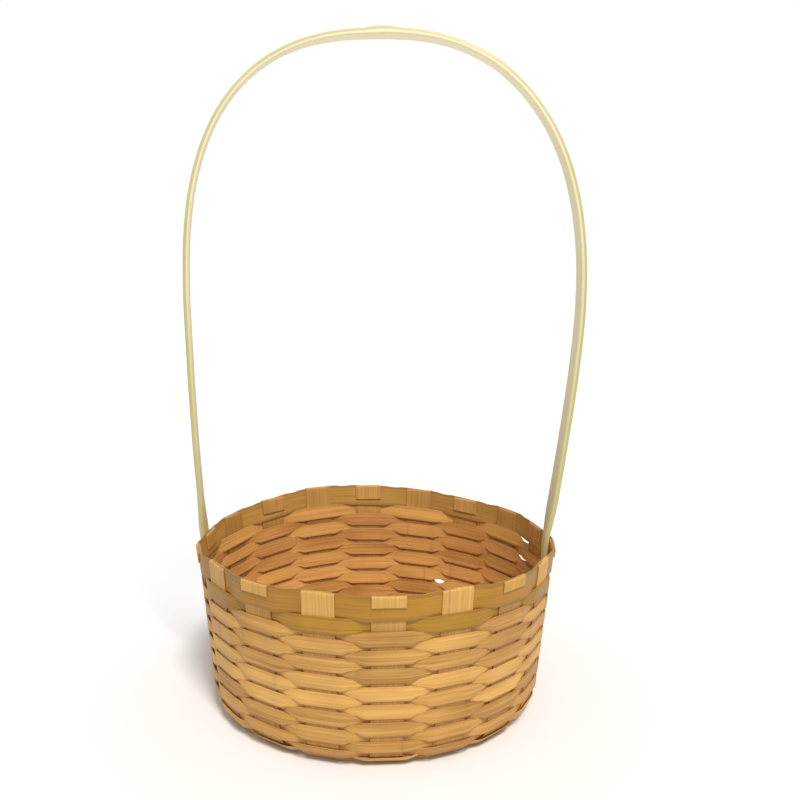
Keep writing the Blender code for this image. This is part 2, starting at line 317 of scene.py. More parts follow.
class Graph:
    """A node tree, with one method that adds any node."""

    def __init__(self, tree):
        self.tree = tree

    def node(self, kind, values=(), output=0, **settings):
        made = self.tree.nodes.new(kind)
        for name, setting in settings.items():
            setattr(made, name, setting)
        pairs = values.items() if isinstance(values, dict) else enumerate(values)
        for key, value in pairs:
            if isinstance(value, Socket):
                self.feed(made, key, value)
            else:
                made.inputs[key].default_value = value
        return Socket(self, made.outputs[output])

    def feed(self, made, key, value):
        """Lead a value into a node's socket."""
        self.tree.links.new(value.link, made.inputs[key])

    def moved(self, place, direction, distance):
        """A place pushed along a direction."""
        values = [direction, distance, place]
        return self.node("ShaderNodeVectorMath", values, operation="MULTIPLY_ADD")

    def part(self, vector, axis):
        return self.node("ShaderNodeSeparateXYZ", [vector], output=axis)

    def noise(self, vector, w, scale, detail=2.0):
        """Smooth noise from 0 to 1, with a fourth coordinate to slide through it."""
        values = {"Vector": vector, "W": w, "Scale": scale, "Detail": detail}
        return self.node("ShaderNodeTexNoise", values, noise_dimensions="4D")


def placed(name, data):
    """An object in the scene that shows a mesh, a lamp or a camera."""
    made = bpy.data.objects.new(name, data)
    bpy.context.scene.collection.objects.link(made)
    return made


def carry_vectors(mesh, **vectors):
    """Put named vectors on a mesh's points, for the sweep and the finishes to read."""
    for name, values in vectors.items():
        layer = mesh.attributes.new(name, "FLOAT_VECTOR", "POINT")
        layer.data.foreach_set("vector", [number for value in values for number in value])


def carry_numbers(mesh, **numbers):
    """Put named numbers on a mesh's points."""
    for name, values in numbers.items():
        mesh.attributes.new(name, "FLOAT", "POINT").data.foreach_set("value", values)


# Paths


def held(number):
    """The same number kept between 0 and 1."""
    return min(max(number, 0), 1)


def smooth(share):
    return share * share * (3 - 2 * share)


def bump(distance, reach, power):
    """1 at a spot, falling to 0 past its reach."""
    return math.exp(-((distance / reach) ** power))


def outward(angle):
    return Vector((math.cos(angle), math.sin(angle), 0))


def sideways(angle):
    return Vector((-math.sin(angle), math.cos(angle), 0))


def wall_point(s):
    """Radius, height and slope of the stakes' middle, a length s up from the edge of the base."""
    turn = min(s / HEEL_RADIUS, HEEL_TURN)
    run = max(s - HEEL_ARC, 0)
    radius = HEEL_START + HEEL_RADIUS * math.sin(turn) + run * math.cos(turn)
    height = HEEL_LEVEL + HEEL_RADIUS * (1 - math.cos(turn)) + run * math.sin(turn)
    return radius, height, turn


def wall_frame(s, angle):
    """A point of the wall's middle surface, the way up the wall and the way into the bowl."""
    radius, height, turn = wall_point(s)
    spoke = outward(angle)
    centre = spoke * radius + UP * height
    uphill = spoke * math.cos(turn) + UP * math.sin(turn)
    inward = UP * math.cos(turn) - spoke * math.sin(turn)
    return centre, uphill, inward


def band_is_outside(angle):
    """True at every second stake, which has the rim band outside it."""
    start = (LONG_STRIPS - 1) / 2 % 1
    return round(angle / STEP - start) % 2 == 0


def relaxed(places, passes, closed):
    """The same path with its corners eased, as a springy splint lies."""
    for _ in range(passes):
        before = places[-1:] + places[:-1]
        after = places[1:] + places[:1]
        eased = [(a + 2 * b + c) / 4 for a, b, c in zip(before, places, after)]
        if not closed:
            eased[0] = places[0]
            eased[-1] = places[-1]
        places = eased
    return places


def headings(places, closed):
    """The way that a path runs at each of its places."""
    last = len(places) - 1
    found = []
    for i in range(len(places)):
        onward = places[(i + 1) % len(places)] if closed else places[min(i + 1, last)]
        behind = places[i - 1] if closed else places[max(i - 1, 0)]
        found.append((onward - behind).normalized())
    return found


def walked(places):
    """The length of a path up to each of its places."""
    lengths = [0]
    for a, b in zip(places, places[1:]):
        lengths.append(lengths[-1] + (b - a).length)
    return lengths


def joints_along(lengths, total, closed, draw):
    """The distance from each place to the nearest joint of the culm, held to a short reach."""
    marks = []
    mark = draw.uniform(0, JOINT_SPACING[0])
    while mark < total:
        marks.append(mark)
        mark += draw.uniform(*JOINT_SPACING)
    found = []
    for length in lengths:
        gaps = [abs(length - mark) for mark in marks] + [JOINT_REACH]
        if closed:
            gaps += [total - gap for gap in gaps[:-1]]
        found.append(min(gaps))
    return found


def spine(name, places, across, closed, draw, breadth=None, depth=None, joints=None, folded=None):
    """A path as a mesh of edges, which carries what the sweep and the finish read."""
    count = len(places)
    edges = [(i, i + 1) for i in range(count - 1)]
    if closed:
        edges.append((count - 1, 0))
    mesh = bpy.data.meshes.new(name)
    mesh.from_pydata(places, edges, [])
    ways = headings(places, closed)
    square = [(a - way * a.dot(way)).normalized() for a, way in zip(across, ways)]
    facing = [way.cross(a).normalized() for a, way in zip(square, ways)]
    lengths = walked(places)
    total = lengths[-1] + ((places[0] - places[-1]).length if closed else 0)
    if joints is None:
        joints = joints_along(lengths, total, closed, draw)
    tint = draw.uniform(*TINTS)
    carry_vectors(mesh, place=places, across=square, facing=facing)
    carry_numbers(mesh, breadth=breadth or [1] * count, depth=depth or [1] * count)
    carry_numbers(mesh, folded=folded or [0] * count, joint=joints, tint=[tint] * count)
    return placed(name, mesh)


def section(name, width, thickness, cut):
    """The outline of a cut end: flat faces, rounded edges, the outer face a little crowned."""
    corner, crown, columns = cut
    half_x = width / 2 - corner
    half_y = thickness / 2 - corner
    flat = half_x - corner

    def rounded(side, level, degrees):
        """Two points of a rounded corner, at these bearings from its middle."""
        turns = [math.radians(bearing) for bearing in degrees]
        middle = (side * half_x, level * half_y)
        return [(middle[0] + corner * math.cos(t), middle[1] + corner * math.sin(t)) for t in turns]

    across = [half_x] + [flat * (1 - 2 * i / columns) for i in range(columns + 1)] + [-half_x]
    outer_face = [(x, thickness / 2 + crown * (1 - (x / half_x) ** 2)) for x in across]
    inner_face = [(-x, -thickness / 2) for x in across]
    left = rounded(-1, 1, (135, 180)) + rounded(-1, -1, (180, 225))
    right = rounded(1, -1, (315, 0)) + rounded(1, 1, (0, 45))
    points = [(x, y, 0) for x, y in outer_face + left + inner_face + right]
    count = len(points)
    mesh = bpy.data.meshes.new(name)
    mesh.from_pydata(points, [(i, (i + 1) % count) for i in range(count)], [])
    shares = [(2 * x / width, 2 * y / thickness, 0) for x, y, _ in points]
    carry_vectors(mesh, cut=points, share=shares)
    return placed(name, mesh)


def hand_set(place):
    """Where the maker's hands left a point: the sway grows up to the rim and fades above it."""
    share = (place.z / RIM_HEIGHT) ** 2
    if place.z > RIM_HEIGHT:
        share = smooth(held(1 - (place.z - RIM_HEIGHT) / SWAY_FADE))
    bearing = math.atan2(place.y, place.x)
    rise = sum(size * math.cos(times * bearing - start) for size, times, start in RIM_SWAY)
    return place + UP * (rise * share)


# The tree that turns a path into a splint


SWEEP_INPUTS = (
    ("Path", "NodeSocketGeometry"),
    ("Section", "NodeSocketObject"),
    ("Wander", "NodeSocketFloat"),
    ("Bow", "NodeSocketFloat"),
    ("Fray", "NodeSocketFloat"),
    ("Cup", "NodeSocketFloat"),
    ("Joint Swell", "NodeSocketFloat"),
    ("Seed", "NodeSocketFloat"),
    ("Finish", "NodeSocketMaterial"),
)


def sweep_tree():
    """Geometry Nodes that push a section along a path and bend it as hand work does."""
    tree = bpy.data.node_groups.new("splint_sweep", "GeometryNodeTree")
    tree.interface.new_socket("Splint", in_out="OUTPUT", socket_type="NodeSocketGeometry")
    for name, kind in SWEEP_INPUTS:
        tree.interface.new_socket(name, in_out="INPUT", socket_type=kind)
    graph = Graph(tree)
    start = tree.nodes.new("NodeGroupInput")
    given = {name: Socket(graph, start.outputs[name]) for name, _ in SWEEP_INPUTS}

    def carried(name, kind="FLOAT"):
        return graph.node("GeometryNodeInputNamedAttribute", {"Name": name}, data_type=kind)

    path = graph.node("GeometryNodeMeshToCurve", [given["Path"]])
    cut_end = graph.node("GeometryNodeObjectInfo", {"Object": given["Section"]}, output="Geometry")
    outline = graph.node("GeometryNodeMeshToCurve", [cut_end])
    values = {"Curve": path, "Profile Curve": outline, "Fill Caps": True}
    tube = graph.node("GeometryNodeCurveToMesh", values)

    place = carried("place", "FLOAT_VECTOR")
    across = carried("across", "FLOAT_VECTOR")
    facing = carried("facing", "FLOAT_VECTOR")
    cut = carried("cut", "FLOAT_VECTOR")
    share = carried("share", "FLOAT_VECTOR")
    beside = graph.part(cut, "X")
    above = graph.part(cut, "Y")
    from_middle = graph.part(share, "X")
    seed = given["Seed"]

    wander = (graph.noise(place, seed, WANDER_WAVES) - 0.5) * given["Wander"]
    bow = (graph.noise(place, seed + BOW_SEED_STEP, BOW_WAVES) - 0.5) * given["Bow"]
    side_seed = seed + from_middle.sign() * EDGE_SEED_STEP
    fray = 1 + (graph.noise(place, side_seed, FRAY_WAVES, FRAY_DETAIL) - 0.5) * given["Fray"]
    curl = from_middle * from_middle * given["Cup"]
    near_joint = 1 / (1 + (carried("joint") / JOINT_SPREAD) ** 2)
    is_skin = (graph.part(share, "Y") * SKIN_STEEPNESS).held()
    swell = near_joint * is_skin * given["Joint Swell"]

    out = beside * carried("breadth") * fray + wander
    proud = above * carried("depth") + bow + curl + swell
    sideways_moved = graph.moved(place, across, out)
    final = graph.moved(sideways_moved, facing, proud)
    shaped = graph.node("GeometryNodeSetPosition", {"Geometry": tube, "Position": final})
    for name in ("place", "across", "facing", "breadth", "depth"):
        shaped = graph.node("GeometryNodeRemoveAttribute", {"Geometry": shaped, "Name": name})
    whole = graph.node("GeometryNodeRealizeInstances", [shaped])
    finished = graph.node("GeometryNodeSetMaterial", {"Geometry": whole, "Material": given["Finish"]})
    graph.feed(tree.nodes.new("NodeGroupOutput"), "Splint", finished)
    return tree


def volume(mesh):
    """The space inside a closed mesh, below zero where its faces point inwards."""
    mesh.calc_loop_triangles()
    total = 0
    for triangle in mesh.loop_triangles:
        a, b, c = (mesh.vertices[i].co for i in triangle.vertices)
        total += a.dot(b.cross(c)) / 6
    return total


def swept(path, outline, finish, slot, node, tree, **faults):
    """The finished splint that stands for a node of the frame."""
    modifier = path.modifiers.new("sweep", "NODES")
    modifier.node_group = tree
    values = {"Section": outline, "Finish": finish, **faults}
    for item in tree.interface.items_tree:
        if item.in_out == "INPUT" and item.name in values:
            modifier[item.identifier] = values[item.name]
    bpy.context.view_layer.update()
    worked_out = bpy.context.evaluated_depsgraph_get()
    seen = path.evaluated_get(worked_out)
    mesh = bpy.data.meshes.new_from_object(seen, preserve_all_data_layers=True, depsgraph=worked_out)
    mesh.name = f"{node}_splint"
    path.modifiers.remove(modifier)
    bpy.data.objects.remove(path)
    if volume(mesh) < 0:
        mesh.flip_normals()
    mesh.shade_smooth()
    mesh.set_sharp_from_angle(angle=SHARP_ANGLE)
    made = placed(f"{node}_splint", mesh)
    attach(made, "root")
    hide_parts(node)
    return made


# Strips that are base and stakes in one


def bezier(bends, t):
    """A place at a share t of the curve that four points steer."""
    a, b, c, d = bends
    return a * (1 - t) ** 3 + b * (3 * t * (1 - t) ** 2) + c * (3 * t * t * (1 - t)) + d * t**3


def mat_run(place, along, beside, crossings, first_over):
    """The middle of a strip, over and under the strips that cross it."""
    flat = STAKE_WIDTH / 2 + EDGE_MARGIN
    stops = []
    for i in range(crossings):
        over = (i + first_over) % 2 == 0
        centre = (i - (crossings - 1) / 2) * MAT_PITCH
        level = MAT_LEVEL + (MAT_OFFSET if over else -MAT_OFFSET)
        stops.append((centre - flat, level))
        stops.append((centre + flat, level))
    places = []
    for (a, level), (b, next_level) in zip(stops, stops[1:]):
        for i in range(MAT_STEPS):
            share = i / MAT_STEPS
            height = level + (next_level - level) * smooth(share)
            places.append(beside * place + along * (a + (b - a) * share) + UP * height)
    places.append(beside * place + along * stops[-1][0] + UP * stops[-1][1])
    return places


def fold(angle):
    """The end of a stake, turned over the rim band and laid down along it."""
    centre, uphill, inward = wall_frame(WALL_TOP, angle)
    outside = band_is_outside(angle)
    away = -inward if outside else inward
    length = OUTER_FOLD_LENGTH if outside else INNER_FOLD_LENGTH
    hub = centre + away * FOLD_RADIUS
    places = []
    for i in range(FOLD_STEPS + 1):
        turn = math.pi * i / FOLD_STEPS
        rise = uphill * (FOLD_RISE * math.sin(turn))
        places.append(hub - away * (FOLD_RADIUS * math.cos(turn)) + rise)
    last = places[-1]
    for i in range(1, FOLD_END_STEPS + 1):
        places.append(last - uphill * (length * i / FOLD_END_STEPS))
    return places


def stake_run(angle, start, heading):
    """A stake from the mat's edge to its folded end, and at each place the way of its width."""
    heel = outward(angle) * HEEL_START
    begin = Vector((start.x, start.y, 0))
    reach = (heel - begin).length / 3
    bends = (begin, begin + heading * reach, heel - outward(angle) * reach, heel)
    places = []
    ways = []
    for i in range(1, FLARE_STEPS):
        t = i / FLARE_STEPS
        spot = bezier(bends, t)
        spot.z = start.z + (HEEL_LEVEL - start.z) * smooth(t)
        places.append(spot)
        ways.append(UP.cross(heading.lerp(outward(angle), t)))
    for i in range(HEEL_STEPS):
        places.append(wall_frame(HEEL_ARC * i / HEEL_STEPS, angle)[0])
    for i in range(WALL_STEPS):
        places.append(wall_frame(HEEL_ARC + WALL_RUN * i / WALL_STEPS, angle)[0])
    places += fold(angle)
    ways += [sideways(angle)] * (len(places) - len(ways))
    return places, ways


def strip_spine(name, index, count, crossings, crosswise, draw):
    """A strip from one folded end, down its stake, through the mat and up to the other."""
    along = Vector((0, 1, 0)) if crosswise else Vector((1, 0, 0))
    beside = Vector((1, 0, 0)) if crosswise else Vector((0, 1, 0))
    place = index - (count - 1) / 2
    middle = mat_run(place * MAT_PITCH, along, beside, crossings, index + crosswise)
    near = place * STEP - math.pi / 2 if crosswise else math.pi - place * STEP
    far = math.pi / 2 - place * STEP if crosswise else place * STEP
    back, back_ways = stake_run(near, middle[0], -along)
    front, front_ways = stake_run(far, middle[-1], along)
    across = back_ways[::-1] + [along.cross(UP)] * len(middle) + [-way for way in front_ways]
    places = relaxed(back[::-1] + middle + front, STRIP_EASING, False)
    turned_over = FOLD_END_STEPS + FOLD_STEPS // 2
    folded = [1] * turned_over + [0] * (len(places) - 2 * turned_over) + [1] * turned_over
    return spine(name, [hand_set(spot) for spot in places], across, False, draw, folded=folded)


def dress_strips(tree, finish, draw):
    outline = section("stake_section", STAKE_WIDTH, STAKE_THICKNESS, STAKE_CUT)
    strips = [(f"long_strip_{i + 1}", i, LONG_STRIPS, CROSS_STRIPS, False) for i in range(LONG_STRIPS)]
    strips += [(f"cross_strip_{i + 1}", i, CROSS_STRIPS, LONG_STRIPS, True) for i in range(CROSS_STRIPS)]
    for node, index, count, crossings, crosswise in strips:
        path = strip_spine(node, index, count, crossings, crosswise, draw)
        faults = {**STAKE_FAULTS, "Cup": draw.uniform(*STAKE_CUPS), "Seed": draw.uniform(*SEEDS)}
        swept(path, outline, finish, "stake", node, tree, **faults)
    bpy.data.objects.remove(outline)


# Rows and bands


def leg_size(height):
    """Width and thickness of the handle, thinned towards its tucked tips."""
    full = held((height - RIM_HEIGHT) / HANDLE_TUCK + 1)
    width = HANDLE_TIP_WIDTH + (HANDLE_WIDTH - HANDLE_TIP_WIDTH) * full
    thickness = HANDLE_TIP_THICKNESS + (HANDLE_THICKNESS - HANDLE_TIP_THICKNESS) * full
    return width, thickness


def leg_side(angle):
    """-1 where a handle leg lies inside this stake, 1 where outside, 0 where there is none."""
    if abs(math.sin(angle)) > math.sin(STEP / 2):
        return 0
    return -1 if math.cos(angle) > 0 else 1


def leg_stand_off(s):
    """How far the inner leg has sprung away from its stake, a length s up the wall."""
    foot = WALL_TOP - INNER_LEG_SPRING
    return INNER_LEG_STAND_OFF * max((s - foot) / INNER_LEG_SPRING, 0)


def lap_at(angle, lap):
    """How much taller a row is over this stake: half as much beside a leg, where rows cross steeply."""
    beside_leg = leg_side(angle) == 0 and abs(math.sin(angle)) < math.sin(1.5 * STEP)
    return lap / 2 if beside_leg else lap


def ring_stop(s, height, thickness, angle, outside, lap):
    """How a row lies at this stake, or over the handle's leg where one is in its way."""
    side = 1 if outside else -1
    taller = lap_at(angle, lap)
    half_height = (height + taller) / 2
    stand_off = HALF_STAKE + TOUCH + thickness / 2
    _, level, turn = wall_point(s)
    if turn < HEEL_TURN and not outside:
        # A flat row inside the curved heel rests on its edges, so its middle stands off the hollow
        stand_off += ((height + taller) ** 2 + ROW_PITCH**2) / (8 * HEEL_RADIUS)
    flat = STAKE_WIDTH / 2 + EDGE_MARGIN
    lowest = RIM_HEIGHT - HANDLE_TUCK
    if leg_side(angle) == side and level + half_height > lowest:
        width, depth = leg_size(level + half_height)
        stand_off += depth + TOUCH
        if not outside:
            stand_off += leg_stand_off(s + half_height)
        flat = width / 2 + EDGE_MARGIN
    return Stop(side * stand_off, flat, taller)


def ring_place(s, k, past, here, onward):
    """Where a row runs, an angle past stake k: straight over a stake, and slanting to the next."""
    radius, _, _ = wall_point(s)
    leave = math.atan2(here.flat, radius)
    arrive = STEP - math.atan2(onward.flat, radius)
    if past <= leave:
        centre, uphill, inward = wall_frame(s, k * STEP)
        centre = centre + sideways(k * STEP) * (radius * math.tan(past))
        return centre, uphill, inward, here.stand_off
    if past >= arrive:
        angle = (k + 1) * STEP
        centre, uphill, inward = wall_frame(s, angle)
        centre = centre - sideways(angle) * (radius * math.tan(STEP - past))
        return centre, uphill, inward, onward.stand_off
    share = (past - leave) / (arrive - leave)
    stand_off = here.stand_off + (onward.stand_off - here.stand_off) * smooth(share)
    bearing = k * STEP + past
    centre, uphill, inward = wall_frame(s, bearing)
    bulge = math.hypot(radius, here.flat + (onward.flat - here.flat) * share) - radius
    return centre + outward(bearing) * bulge, uphill, inward, stand_off


def ring_spine(name, s, height, thickness, outside_even, lap, draw):
    """A row or band: in front of one stake, behind the next, and closed on itself."""
    stops = []
    for k in range(STAKES):
        outside = band_is_outside(k * STEP) == outside_even
        stops.append(ring_stop(s, height, thickness, k * STEP, outside, lap))
    thin_at, thin_by = THIN_SPOTS.get(name, (0, 0))
    usual = HALF_STAKE + TOUCH + thickness / 2
    places = []
    ways = []
    widths = []
    for k in range(STAKES):
        here = stops[k]
        onward = stops[(k + 1) % STAKES]
        for i in range(RING_STEPS):
            past = STEP * i / RING_STEPS
            centre, uphill, inward, stand_off = ring_place(s, k, past, here, onward)
            thinner = thin_by * bump(k * STEP + past - thin_at, THIN_REACH, FLAT_TOP)
            places.append(centre - inward * stand_off - uphill * (thinner / 2))
            ways.append(uphill)
            from_swap = (abs(i / RING_STEPS - 0.5) - SWAP_START_SHARE) / SWAP_REACH_SHARE
            full = here.taller if i < RING_STEPS / 2 else onward.taller
            full += LAP_OVER_LEG_SHARE * max(abs(stand_off) - usual, 0)
            wider = LAP_AT_SWAP + full * smooth(held(from_swap))
            widths.append(1 + (wider - thinner) / height)
    places = [hand_set(spot) for spot in relaxed(places, RING_EASING, True)]
    return spine(name, places, ways, True, draw, breadth=widths)


def dress_rows(tree, finish, draw):
    outline = section("weaver_section", ROW_PITCH, WEAVER_THICKNESS, WEAVER_CUT)
    for i in range(ROWS):
        node = f"weaver_row_{i + 1:02d}"
        s = (i + 0.5) * ROW_PITCH
        outside_even = (ROWS - i) % 2 == 1
        lap = ROW_LAP if s - ROW_PITCH > HEEL_ARC else HEEL_ROW_LAP
        path = ring_spine(node, s, ROW_PITCH, WEAVER_THICKNESS, outside_even, lap, draw)
        faults = {**WEAVER_FAULTS, "Cup": draw.uniform(*WEAVER_CUPS), "Seed": draw.uniform(*SEEDS)}
        swept(path, outline, finish, "weaver", node, tree, **faults)
    bpy.data.objects.remove(outline)


def dress_band(node, top, foot, outside_even, tree, finish, draw):
    height = top - foot
    outline = section(f"{node}_section", height + BAND_GAP, BAND_THICKNESS, BAND_CUT)
    path = ring_spine(node, (top + foot) / 2, height, BAND_THICKNESS, outside_even, BAND_LAP, draw)
    faults = {**BAND_FAULTS, "Seed": draw.uniform(*SEEDS)}
    swept(path, outline, finish, "band", node, tree, **faults)
    bpy.data.objects.remove(outline)


# Handle


def tucked_leg(side):
    """Points of one leg along its stake, from the tip up to the rim: inside at +X, outside at -X."""
    angle = 0 if side > 0 else math.pi
    top = WALL_TOP + FRAME_FOLD
    points = []
    for i in range(CURVE_SAMPLES + 1):
        s = top - HANDLE_TUCK * (1 - i / CURVE_SAMPLES)
        centre, _, inward = wall_frame(s, angle)
        _, thickness = leg_size(centre.z)
        stand_off = HALF_STAKE + TOUCH + thickness / 2
        if side > 0:
            stand_off += leg_stand_off(s)
        points.append(centre + inward * stand_off * side)
    return points


def free_leg(start):
    """Points from the rim up to the shoulder, leaning out less and less."""
    side = math.copysign(1, start.x)
    spread = HANDLE_HALF_SPAN - abs(start.x)
    points = []
    for i in range(1, CURVE_SAMPLES):
        share = i / CURVE_SAMPLES
        x = HANDLE_HALF_SPAN - spread * (1 - share) ** LEG_LEAN_POWER
        z = start.z + (HANDLE_SHOULDER_HEIGHT - start.z) * share
        points.append(Vector((side * x, 0, z)))
    return points


def shoulder(side, fullness):
    """Points from the shoulder to the top, a quarter of a squarish oval."""
    rise = HANDLE_TOP_HEIGHT - HANDLE_SHOULDER_HEIGHT
    points = []
    for i in range(CURVE_SAMPLES + 1):
        turn = math.pi / 2 * i / CURVE_SAMPLES
        x = HANDLE_HALF_SPAN * math.cos(turn) ** (2 / fullness)
        z = HANDLE_SHOULDER_HEIGHT + rise * math.sin(turn) ** (2 / fullness)
        points.append(Vector((side * x, 0, z)))
    return points


def evenly_spaced(points, count):
    """The same line walked at equal steps."""
    lengths = walked(points)
    spaced = []
    j = 0
    for i in range(count + 1):
        target = lengths[-1] * i / count
        while j < len(points) - 2 and lengths[j + 1] < target:
            j += 1
        share = (target - lengths[j]) / (lengths[j + 1] - lengths[j])
        spaced.append(points[j].lerp(points[j + 1], share))
    return spaced


def hoop_line():
    """The middle of the hoop, from the tip of its inner leg over the top to that of its outer leg."""
    right = tucked_leg(1)
    right += free_leg(right[-1]) + shoulder(1, RIGHT_SHOULDER_FULLNESS)
    left = tucked_leg(-1)
    left += free_leg(left[-1]) + shoulder(-1, LEFT_SHOULDER_FULLNESS)
    return relaxed(evenly_spaced(right + left[-2::-1], HANDLE_STEPS), HANDLE_EASING, False)


def above_shoulders(spot):
    """True on the bow that joins the two legs."""
    return spot.z > HANDLE_SHOULDER_HEIGHT


def hoop_across(spot):
    """The way of the hoop's width: turned above the rim, more to the right, and rolled at the grip."""
    risen = smooth(held((spot.z - RIM_HEIGHT) / HANDLE_SKEW_RISE))
    to_right = smooth((spot.x / HANDLE_HALF_SPAN + 1) / 2)
    skew = (HANDLE_SKEW + RIGHT_LEG_SKEW * to_right) * risen
    roll = GRIP_ROLL * bump(spot.x, GRIP_ROLL_REACH, ROUND_TOP) if above_shoulders(spot) else 0
    return Vector((math.sin(skew), -math.cos(skew), roll))


def dress_handle(tree, finish, draw):
    places = []
    across = []
    breadth = []
    depth = []
    joints = []
    for spot in hoop_line():
        width, thickness = leg_size(spot.z)
        swell = NODE_SWELL * bump(spot.x, NODE_SPREAD, FLAT_TOP)
        drift = smooth(held((spot.z - RIM_HEIGHT) / (HANDLE_SHOULDER_HEIGHT - RIM_HEIGHT)))
        places.append(hand_set(spot + Vector((HANDLE_DRIFT * drift, 0, swell / 2))))
        across.append(hoop_across(spot))
        breadth.append(width / HANDLE_WIDTH)
        depth.append((thickness + swell) / HANDLE_THICKNESS)
        joints.append(min(abs(spot.x), JOINT_REACH) if above_shoulders(spot) else JOINT_REACH)
    path = spine("hoop_handle", places, across, False, draw, breadth, depth, joints)
    outline = section("handle_section", HANDLE_WIDTH, HANDLE_THICKNESS, HANDLE_CUT)
    swept(path, outline, finish, "handle", "hoop_handle", tree, **HANDLE_FAULTS)
    bpy.data.objects.remove(outline)


# Finishes


def new_finish(name, **fixed):
    """A material, its graph and its shader, with the numbers that are the same all over."""
    material = bpy.data.materials.new(name)
    material.use_nodes = True
    shader = material.node_tree.nodes["Principled BSDF"]
    for socket, value in fixed.items():
        shader.inputs[socket.replace("_", " ")].default_value = value
    return material, Graph(material.node_tree), shader


def colour(red, green, blue):
    return (red, green, blue, 1)


def mixed(graph, factor, low, high):
    """Two colours blended."""
    return graph.node("ShaderNodeMix", {0: factor, 6: low, 7: high}, output=2, data_type="RGBA")


def attribute(graph, name, output):
    return graph.node("ShaderNodeAttribute", output=output, attribute_name=name)


def grain(graph, place, tint):
    """Coarse and fine fibres along a splint, and the tone that they and its blotches give it."""
    beside = graph.part(attribute(graph, "cut", "Vector"), "X")
    start = tint * TINT_JUMP
    slide = beside * FIBRES_ACROSS / FIBRE_WAVES_ALONG + start
    fibre = graph.noise(place, slide, FIBRE_WAVES_ALONG, FIBRE_DETAIL)
    fine_slide = beside * FINE_FIBRES_ACROSS / FINE_WAVES_ALONG + start
    fine = graph.noise(place, fine_slide, FINE_WAVES_ALONG)
    blotch = graph.noise(place, start, BLOTCH_WAVES)
    tone = 0.5 + (fibre - 0.5) * FIBRE_TONE + (fine - 0.5) * FINE_TONE + (blotch - 0.5) * BLOTCH_TONE
    return fibre, fine, tone


def bleach_and_painted_light(graph, place, outer, bleach_and_light):
    """How far a splint is paled, partly as bleaching and partly as painted light: more with height, and
    at another pace on the face that looks in.
    """
    risen = ((graph.part(place, "Z") - bleach_and_light.low) / (bleach_and_light.high - bleach_and_light.low)).held()
    folded = attribute(graph, "folded", "Fac")
    faces_in = folded * outer + (1 - folded) * (1 - outer)
    onset = LATE_ONSET + faces_in * (EARLY_ONSET - LATE_ONSET)
    return risen**onset * (bleach_and_light.seen_out + faces_in * (bleach_and_light.seen_in - bleach_and_light.seen_out))


def splint_finish(name, skin, pith, edge, joint, bleach_and_light, contrast, roughness, shine):
    """Split culm: long fibres, blotches, a duller inner face, edges darkened partly by wear and partly
    as painted shade between splints, joints, and paling that is partly bleaching and partly painted
    light.
    """
    fixed = {"Specular_IOR_Level": shine, "Coat_Roughness": COAT_ROUGHNESS}
    material, graph, shader = new_finish(name, Coat_Weight=shine * COAT_SHARE, **fixed)
    place = graph.node("ShaderNodeTexCoord", output="Object")
    share = attribute(graph, "share", "Vector")
    tint = attribute(graph, "tint", "Fac")
    fibre, fine, tone = grain(graph, place, tint)
    tone = (tone + (tint - 0.5) * contrast).held()
    outer = (graph.part(share, "Y") * FACE_STEEPNESS + 0.5).held()
    face = mixed(graph, outer, mixed(graph, tone, *pith), mixed(graph, tone, *skin))
    near_joint = 1 / (1 + (attribute(graph, "joint", "Fac") / JOINT_LINE) ** 2)
    face = mixed(graph, near_joint * joint.amount, face, joint.tone)
    bleach_and_light_share = 0
    # Paling, partly bleaching and partly painted light.
    if bleach_and_light:
        bleach_and_light_share = bleach_and_painted_light(graph, place, outer, bleach_and_light)
        face = mixed(graph, bleach_and_light_share, face, mixed(graph, tone, bleach_and_light.dull, bleach_and_light.bright))
    # Painted shade: the edges darken where neighbouring splints shade them, besides their wear.
    edge_wear_and_shade = ((abs(graph.part(share, "X")) - EDGE_SHADE_FROM_SHARE) * EDGE_SHADE_STEEPNESS).held()
    edge_wear_and_shade = edge_wear_and_shade * (1 - bleach_and_light_share * EDGE_FADING)
    face = mixed(graph, edge_wear_and_shade * edge.amount, face, edge.tone)
    graph.feed(shader, "Base Color", face)
    dull = (roughness + (1 - outer) * PITH_DULLNESS + (fibre - 0.5) * FIBRE_DULLNESS).held()
    graph.feed(shader, "Roughness", dull)
    height = fibre + fine * FINE_RELIEF
    values = {"Strength": RELIEF_STRENGTH, "Distance": FIBRE_DEPTH, "Height": height}
    graph.feed(shader, "Normal", graph.node("ShaderNodeBump", values))
    return material


def stake_finish():
    """Straw splint, darker down the wall partly as painted shade where it lies recessed between the
    rows, and paler where it reaches the rim.
    """
    return splint_finish(
        "stake_splint",
        # The skin and pith are darker than the rows' partly as painted shade of the recesses between the
        # rows.
        skin=(colour(0.30, 0.13, 0.026), colour(0.62, 0.32, 0.08)),
        pith=(colour(0.22, 0.09, 0.018), colour(0.50, 0.23, 0.05)),
        edge=Mark(colour(0.30, 0.13, 0.03), 0.25),
        joint=Mark(colour(0.22, 0.09, 0.03), 0.55),
        bleach_and_light=BleachAndLight(
            dull=colour(0.47, 0.237, 0.049),
            bright=colour(0.84, 0.49, 0.137),
            low=0.080,
            high=0.088,
            seen_out=0.95,
            seen_in=0.52,
        ),
        contrast=0.4,
        roughness=0.5,
        shine=0.35,
    )


def weaver_finish():
    """Golden tan splint, which differs more than the others from row to row."""
    return splint_finish(
        "weaver_splint",
        skin=(colour(0.41, 0.185, 0.038), colour(0.92, 0.53, 0.145)),
        pith=(colour(0.45, 0.190, 0.043), colour(0.91, 0.50, 0.155)),
        edge=Mark(colour(0.24, 0.095, 0.018), 0.28),
        joint=Mark(colour(0.17, 0.06, 0.02), 0.35),
        bleach_and_light=None,
        contrast=0.6,
        roughness=0.52,
        shine=0.35,
    )


